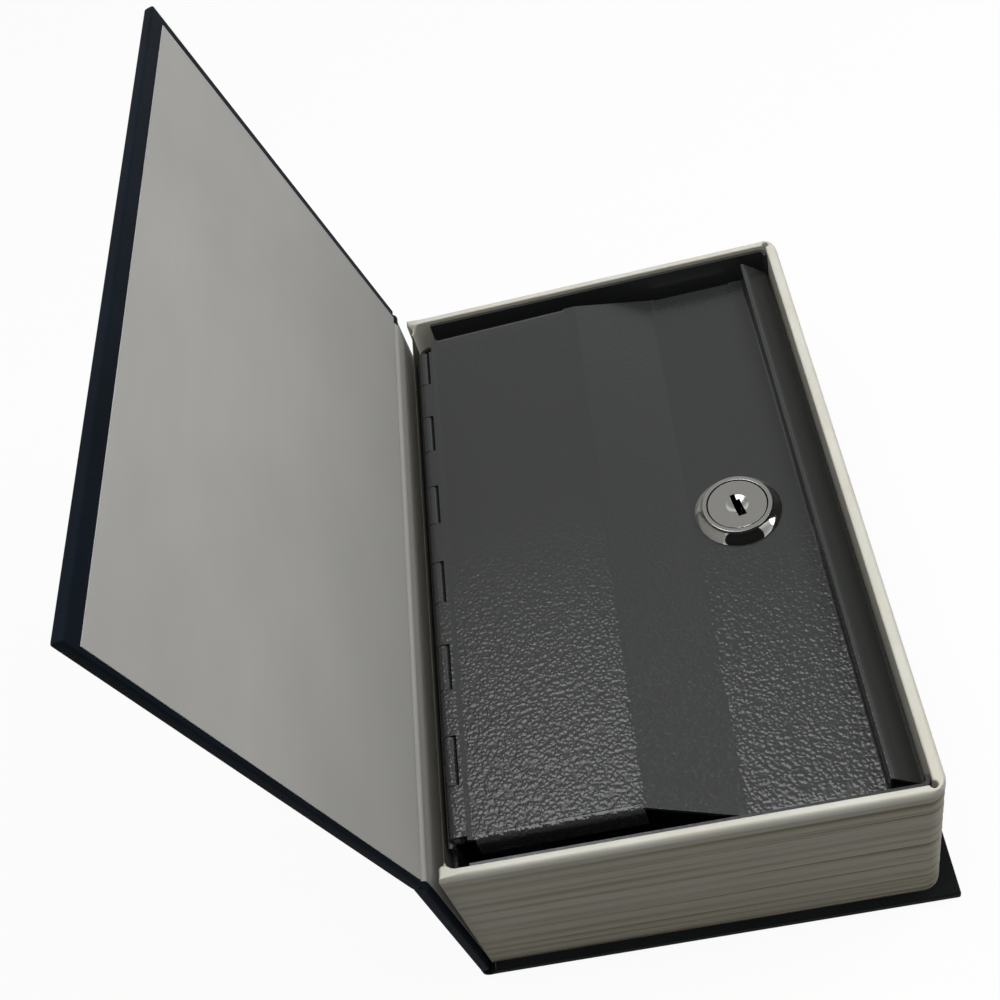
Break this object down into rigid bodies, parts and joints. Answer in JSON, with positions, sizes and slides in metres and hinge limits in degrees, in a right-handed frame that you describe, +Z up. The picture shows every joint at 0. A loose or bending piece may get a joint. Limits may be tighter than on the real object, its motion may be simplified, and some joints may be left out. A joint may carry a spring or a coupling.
{
  "type": "book safe",
  "caption": "Small cash box hidden in a hollow hardcover book, with a hinged cover, a page-edge block and a folded steel lid with a cam lock.",
  "frame": {"origin": "centre of the back cover's underside, on the surface that the book lies on", "axes": "+X from the spine to the fore edge, +Y along the spine towards its head, +Z up out of the back cover"},
  "size_m": [0.1457, 0.18, 0.1686],
  "materials": {
    "cover_cloth": "grained navy-black leatherette",
    "endpaper": "matt grey paper",
    "greyboard": "raw binder's board",
    "page_block": "matt ivory moulding",
    "hammered_steel": "dark grey hammer finish",
    "nickel": "bright nickel with a satin plug",
    "zinc_steel": "zinc plated",
    "wafer_brass": "plain brass",
    "foam_tape": "double-sided foam sheet"
  },
  "bodies": {
    "base": {"back_board": "greyboard", "back_cloth": "cover_cloth", "back_joint_cloth": "cover_cloth", "page_frame": "page_block", "box_adhesive": "foam_tape", "steel_box": "hammered_steel", "strike_bracket": "zinc_steel", "box_rivet_1": "zinc_steel", "box_rivet_2": "zinc_steel", "box_rivet_3": "zinc_steel", "box_rivet_4": "zinc_steel", "hinge_leaf": "hammered_steel"},
    "spine": {"spine_board": "greyboard", "spine_cloth": "cover_cloth", "spine_lining": "endpaper", "front_joint_cloth": "cover_cloth", "front_joint_lining": "endpaper"},
    "front_cover": {"front_board": "greyboard", "front_cloth": "cover_cloth", "front_endpaper": "endpaper"},
    "lid": {"lid": "hammered_steel", "lock_housing": "nickel", "lock_nut": "zinc_steel"},
    "plug": {"lock_plug": "nickel", "lock_cam": "zinc_steel", "cam_washer": "zinc_steel", "cam_screw": "zinc_steel", "wafer_1": "wafer_brass", "wafer_2": "wafer_brass", "wafer_3": "wafer_brass", "wafer_4": "wafer_brass", "wafer_spring_1": "zinc_steel", "wafer_spring_2": "zinc_steel", "wafer_spring_3": "zinc_steel", "wafer_spring_4": "zinc_steel"},
    "pin": {"hinge_pin": "zinc_steel"}
  },
  "joints": [
    {"name": "spine_hinge", "type": "hinge", "parent": "base", "child": "spine", "pos_m": [-0.0566, 0, 0.0016], "axis": [0, -1, 0], "range_deg": [-2.4, 25], "deforming": ["back_joint_cloth"]},
    {"name": "cover_hinge", "type": "hinge", "parent": "spine", "child": "front_cover", "pos_m": [-0.05891, 0, 0.05675], "axis": [0, -1, 0], "range_deg": [-101.2, 75], "deforming": ["front_joint_cloth", "front_joint_lining"]},
    {"name": "lid_hinge", "type": "hinge", "parent": "base", "child": "lid", "pos_m": [-0.0511, 0, 0.0521], "axis": [0, -1, 0], "range_deg": [0, 100]},
    {"name": "lock_turn", "type": "hinge", "parent": "lid", "child": "plug", "pos_m": [0.0265, 0, 0.0472], "axis": [0, 0, 1], "range_deg": [0, 90]},
    {"name": "pin_spin", "type": "hinge", "parent": "base", "child": "pin", "pos_m": [-0.0511, 0, 0.0521], "axis": [0, 1, 0], "continuous": true}
  ]
}
